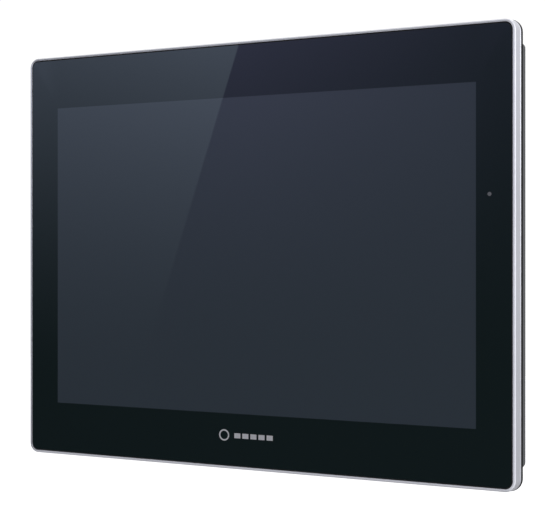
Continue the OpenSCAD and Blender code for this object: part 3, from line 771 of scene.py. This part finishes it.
def data_sockets():
    """Two nickel shells, each with a coloured tongue that carries four gold contacts."""
    low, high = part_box("usb_ports")
    tongue_low, tongue_high = low.y + 3.0 * MM, low.y + 5.0 * MM

    def paint(point):
        centre = min(DATA_SOCKET_X, key=lambda x: abs(point.x - x))
        inside = abs(point.x - centre) < 5.6 * MM and tongue_low < point.y < tongue_high
        if inside and low.z + 0.5 * MM < point.z < low.z + 9.9 * MM:
            return 1
        in_mouth = abs(point.x - centre) < 6.3 * MM and low.y + 0.3 * MM < point.y < low.y + 5.6 * MM
        return 2 if in_mouth and point.z > low.z + 8 * MM else 0

    softened("usb_ports", 0.08 * MM, [nickel, tongue_blue, port_black], paint)
    contacts = []
    for centre in DATA_SOCKET_X:
        for offset in (-3.5, -1.0, 1.0, 3.5):
            x = centre + offset * MM
            contacts.append(((x - 0.5 * MM, tongue_low + 0.05 * MM, low.z + 1.4 * MM),
                             (x + 0.5 * MM, tongue_low + 0.12 * MM, low.z + 8.5 * MM)))
    blocks("data_socket_contacts", contacts, gold, "bright_steel")


data_sockets()


# %% [markdown]
# ## Serial connectors
# Each serial connector is a D-shaped shell on a flange, with two hexagonal posts for the cable's screws. The plug holds
# nine gold-plated pins, the socket a black block with nine holes. Pins and block are picked out by their place.

# %% Serial connectors
def serial_connectors():
    """Nickel shells around black inserts. The plug has gold pins, and the socket a black face with nine holes."""
    for node, is_plug in (("serial_plug", True), ("serial_socket", False)):
        low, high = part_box(node)
        middle = (low.x + high.x) / 2
        flange = low.z + 5.8 * MM
        centre_y = low.y + 6.2 * MM

        def paint(point, is_plug=is_plug, middle=middle, flange=flange, centre_y=centre_y):
            across, deep = abs(point.x - middle), abs(point.y - centre_y)
            if is_plug:
                is_pin = point.z < flange - 0.1 * MM and across < 6.3 * MM and 0.6 * MM < deep < 2.1 * MM
                is_floor = abs(point.z - flange) < 0.05 * MM and across < 7.8 * MM and deep < 4 * MM
                return 2 if is_pin else int(is_floor)
            is_face = point.z < flange - 5.7 * MM or (across < 6.5 * MM and deep < 2.2 * MM)
            return int(is_face)

        softened(node, 0.08 * MM, [nickel, port_black, gold], paint)


serial_connectors()
softened("jack_posts", 0.15 * MM)


# %% [markdown]
# ## Card slot and small switches
# The card slot is a pressed shell, black inside. The setting switch is a red block with four white levers that slide,
# and the reset button sits in its own block. Each lever and the button ride on their own body, so they move.

# %% Card slot, setting switch, reset
def card_slot():
    """A pressed metal shell with a black inside."""
    low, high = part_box("card_slot")
    middle = (low.x + high.x) / 2

    def paint(point):
        in_slot = abs(point.x - middle) < 12.3 * MM and low.y + 0.4 * MM < point.y < low.y + 2.9 * MM
        return int(in_slot and point.z > low.z + 0.3 * MM)

    softened("card_slot", 0.08 * MM, [nickel, port_black], paint)


card_slot()
softened("dip_switch", 0.12 * MM)
for k in (1, 2, 3, 4):
    softened(f"dip_lever_{k}", 0.15 * MM, body=f"dip_lever_{k}")
softened("reset_switch", 0.15 * MM)
softened("reset_button", 0.2 * MM, body="reset_button")

# %% [markdown]
# ## Power connection
# Power comes in through a green terminal block that plugs into a header. The block slides out with its three clamp
# screws, which also turn, so all four ride on bodies of their own.

# %% Power connection
softened("power_header", 0.2 * MM)
softened("power_plug", 0.2 * MM, body="power_plug")
for k in (1, 2, 3):
    softened(f"clamp_screw_{k}", 0.12 * MM, body=f"clamp_screw_{k}")

# %% [markdown]
# ## Floor
# The floor only closes the picture from below. The panel hangs high above it, as in a cabinet door. It is pale, gives
# off a little light of its own, and is left out of reflections and of bounced light, so the metal shows the studio.

# %% Floor
FLOOR_Z = -1.3
FLOOR_HALF_WIDTH = 12.0


def floor():
    """A plain pale floor, well below the panel, which hangs as high as it would in its cabinet door."""
    bm = bmesh.new()
    bmesh.ops.create_grid(bm, x_segments=1, y_segments=1, size=FLOOR_HALF_WIDTH)
    bmesh.ops.translate(bm, vec=(0, 0, FLOOR_Z), verts=bm.verts)
    mesh = bpy.data.meshes.new("floor")
    bm.to_mesh(mesh)
    bm.free()
    mesh.materials.append(finish("floor_white", (0.93, 0.93, 0.93), 0.9, Emission_Color=(1, 1, 1, 1),
                                 Emission_Strength=0.45)[0])
    obj = bpy.data.objects.new("floor", mesh)
    obj.visible_glossy = False
    obj.visible_diffuse = False
    bpy.context.scene.collection.objects.link(obj)
    print("floor", FLOOR_Z, "m below the middle of the panel")


floor()
